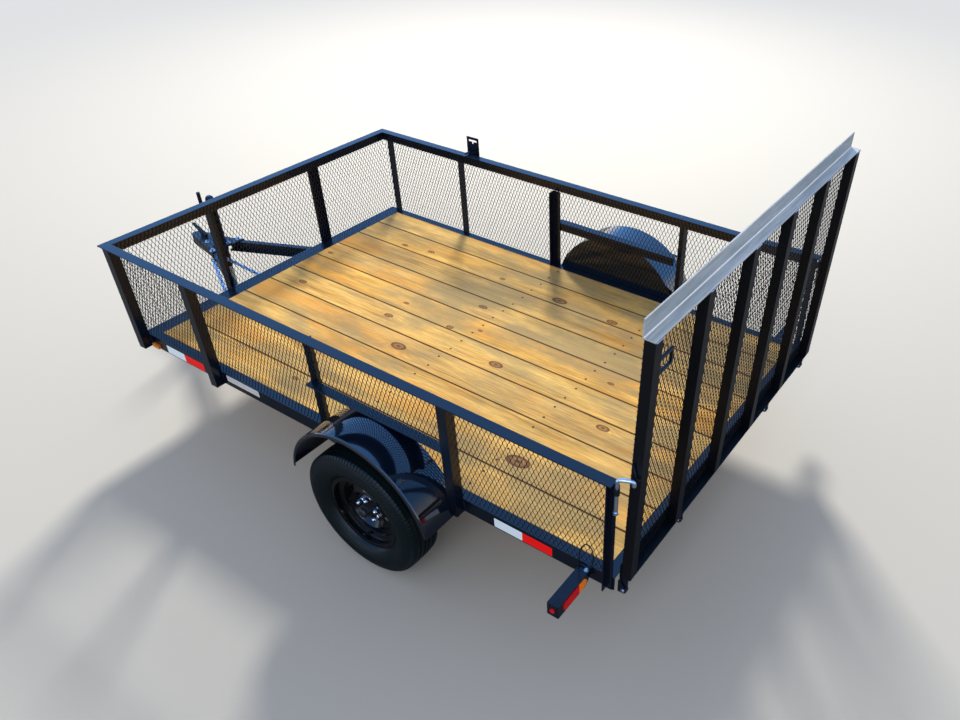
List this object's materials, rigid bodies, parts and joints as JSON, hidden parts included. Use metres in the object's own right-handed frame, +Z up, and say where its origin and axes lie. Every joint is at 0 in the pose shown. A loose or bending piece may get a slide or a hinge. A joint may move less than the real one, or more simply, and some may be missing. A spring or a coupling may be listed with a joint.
{
  "type": "utility trailer",
  "caption": "Open utility trailer with expanded-metal sides, plank deck, round fenders, A-frame tongue with jack, and an upright ramp gate at the rear.",
  "frame": {"origin": "on the ground, under the middle of the whole trailer's box", "axes": "+X forward to the coupler, +Y to the trailer's left, +Z up"},
  "size_m": [4.2172, 2.49, 1.807],
  "materials": {
    "frame_paint": "glossy black paint",
    "mesh_paint": "glossy black paint over expanded metal",
    "boards": "treated pine, weathered a little",
    "tyre": "satin rubber",
    "wheel_paint": "gloss black wheel paint",
    "hub_steel": "black hub, plated nuts",
    "running_gear": "satin black",
    "red_lens": "moulded red lens",
    "amber_lens": "moulded amber lens",
    "galvanised": "zinc plated",
    "jack_leg_steel": "zinc plated tube"
  },
  "bodies": {
    "root": {"axle_beam": "running_gear", "coupler": "frame_paint", "coupler_latch": "frame_paint", "cross_members": "frame_paint", "fender_left": "frame_paint", "fender_right": "frame_paint", "floor_boards": "boards", "front_rail": "frame_paint", "guard_rail_left": "frame_paint", "guard_rail_right": "frame_paint", "hinge_ears": "frame_paint", "jack_crank": "frame_paint", "jack_housing": "frame_paint", "lamp_box_left": "frame_paint", "lamp_box_right": "frame_paint", "lamp_lens_left": "red_lens", "lamp_lens_right": "red_lens", "latch_rod_left": "galvanised", "latch_rod_right": "galvanised", "leaf_spring_left": "running_gear", "leaf_spring_right": "running_gear", "marker_lamp_left": "amber_lens", "marker_lamp_right": "amber_lens", "mesh_front": "mesh_paint", "mesh_left": "mesh_paint", "mesh_right": "mesh_paint", "posts_front": "frame_paint", "posts_left": "frame_paint", "posts_right": "frame_paint", "rear_sill": "frame_paint", "safety_chain_left": "galvanised", "safety_chain_right": "galvanised", "side_rail_left": "frame_paint", "side_rail_right": "frame_paint", "spare_carrier": "frame_paint", "spring_hangers_left": "running_gear", "spring_hangers_right": "running_gear", "tongue_left": "frame_paint", "tongue_right": "frame_paint", "top_rail_front": "frame_paint", "top_rail_left": "frame_paint", "top_rail_right": "frame_paint"},
    "wheel_left": {"tyre_left": "tyre", "rim_left": "wheel_paint", "hub_left": "hub_steel"},
    "wheel_right": {"tyre_right": "tyre", "rim_right": "wheel_paint", "hub_right": "hub_steel"},
    "gate": {"gate_bottom_rail": "frame_paint", "gate_handle": "frame_paint", "gate_mesh": "mesh_paint", "gate_stiles": "frame_paint", "gate_tabs": "frame_paint", "gate_top_rail": "frame_paint", "latch_keepers": "frame_paint"},
    "jack_leg": {"jack_leg": "jack_leg_steel"}
  },
  "joints": [
    {"name": "wheel_left_spin", "type": "hinge", "parent": "root", "child": "wheel_left", "pos_m": [-0.74444, 1.128, 0.344], "axis": [0, 1, 0], "continuous": true},
    {"name": "wheel_right_spin", "type": "hinge", "parent": "root", "child": "wheel_right", "pos_m": [-0.74444, -1.128, 0.344], "axis": [0, 1, 0], "continuous": true},
    {"name": "gate_hinge", "type": "hinge", "parent": "root", "child": "gate", "pos_m": [-2.04444, 0, 0.462], "axis": [0, -1, 0], "range_deg": [0, 108]},
    {"name": "jack_slide", "type": "slide", "parent": "root", "child": "jack_leg", "axis": [0, 0, 1], "range_m": [0, 0.28]}
  ]
}
